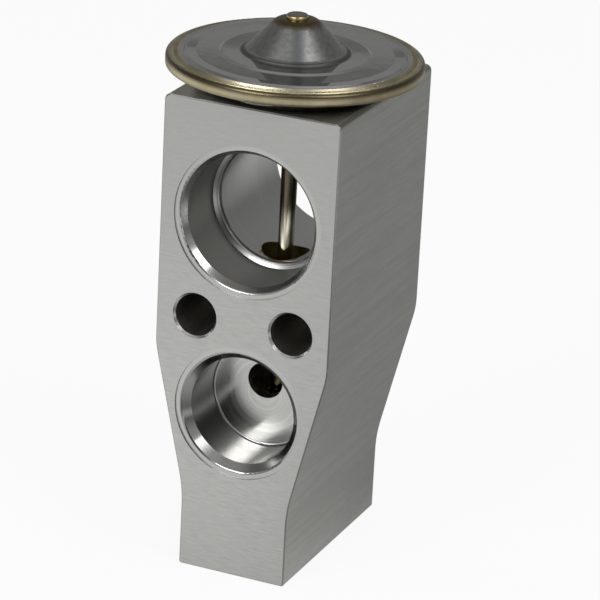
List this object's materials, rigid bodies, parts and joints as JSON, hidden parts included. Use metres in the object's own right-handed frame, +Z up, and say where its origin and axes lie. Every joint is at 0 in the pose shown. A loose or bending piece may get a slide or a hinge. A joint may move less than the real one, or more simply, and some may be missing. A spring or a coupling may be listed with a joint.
{
  "type": "thermal expansion valve",
  "caption": "Block-type refrigerant expansion valve: aluminium block with flow ports front and back, disc power head, rod, ball and spring inside.",
  "frame": {"origin": "middle of the two mounting bolt holes, on the front face of the block", "axes": "+Z up along the valve towards the power head, +Y into the block along the bolt holes, +X across the block to the right seen from the front"},
  "size_m": [0.041, 0.0415, 0.0906],
  "materials": {
    "block_alloy": "milled front, saw-fine sides, turned ports",
    "cover_steel": "stamped stainless, heat tint at the rim weld",
    "rod_steel": "ground bright",
    "inner_steel": "bright",
    "screw_steel": "plated, turned",
    "plug_steel": "welded, heat tint",
    "seat_brass": "turned",
    "seal_rubber": "matt"
  },
  "bodies": {
    "housing": {"valve_body": "block_alloy", "upper_cover": "cover_steel", "lower_cover": "cover_steel", "threaded_collar": "cover_steel", "head_gasket": "seal_rubber", "charge_plug": "plug_steel", "diaphragm": "inner_steel", "rod_seal": "seal_rubber", "seal_washer": "inner_steel", "seal_retainer": "inner_steel", "orifice_seat": "seat_brass"},
    "valve_train": {"push_rod": "rod_steel", "stopper_disc": "inner_steel", "valve_ball": "rod_steel", "ball_carrier": "inner_steel", "vibration_damper": "inner_steel", "superheat_spring": "inner_steel"},
    "adjuster_carriage": {"adjuster_seal": "seal_rubber"},
    "adjuster": {"adjusting_screw": "screw_steel"}
  },
  "joints": [
    {"name": "valve_stroke", "type": "slide", "parent": "housing", "child": "valve_train", "axis": [0, 0, -1], "range_m": [0, 0.0008], "stiffness_N_per_m": 500, "springref_m": -0.004, "deforming": ["superheat_spring", "diaphragm"]},
    {"name": "adjuster_travel", "type": "slide", "parent": "housing", "child": "adjuster_carriage", "axis": [0, 0, 1], "range_m": [-0.00076, 0.00076]},
    {"name": "adjuster_turn", "type": "hinge", "parent": "adjuster_carriage", "child": "adjuster", "pos_m": [0, 0.0158, -0.04], "axis": [0, 0, 1], "range_deg": [-270, 270]}
  ],
  "couplings": [
    {"joint": "adjuster_travel", "follows": "adjuster_turn", "m_per_rad": 0.00015915}
  ]
}
